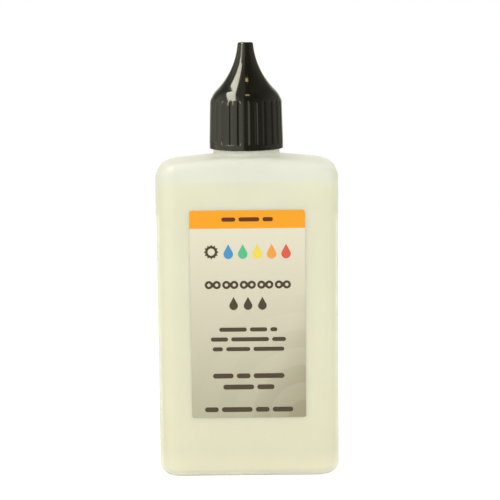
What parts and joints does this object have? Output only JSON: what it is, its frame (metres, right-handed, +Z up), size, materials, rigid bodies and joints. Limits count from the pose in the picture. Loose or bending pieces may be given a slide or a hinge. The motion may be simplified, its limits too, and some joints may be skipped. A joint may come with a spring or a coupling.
{
  "type": "chain lube bottle",
  "caption": "Flat translucent squeeze bottle of oil with a pressed-in dropper, a ribbed pointed screw cap that lifts off, and a printed film label on its front.",
  "frame": {"origin": "on the standing surface, under the middle of the neck", "axes": "+Z up along the neck's axis; front of the bottle, with its label, towards -Y; +X to the right seen from the front"},
  "size_m": [0.056, 0.0242, 0.1337],
  "materials": {
    "shell": "natural translucent polyethylene, satin from the mould",
    "oil": "clear straw-coloured oil",
    "insert": "natural polyethylene",
    "cap": "glossy moulded polypropylene",
    "film": "printed film, satin",
    "band_ink": "printed ink under varnish",
    "dark_ink": "printed ink under varnish",
    "drop_ink": "printed ink under varnish"
  },
  "bodies": {
    "bottle_body": {"bottle": "shell", "oil": "oil", "dropper_insert": "insert", "label_film": "film", "label_band": "band_ink", "print_dark": "dark_ink", "print_drops": "drop_ink"},
    "cap_body": {"cap": "cap"}
  },
  "joints": [
    {"name": "cap_lift", "type": "slide", "parent": "bottle_body", "child": "cap_body", "axis": [0, 0, 1], "range_m": [0, 0.032]}
  ]
}
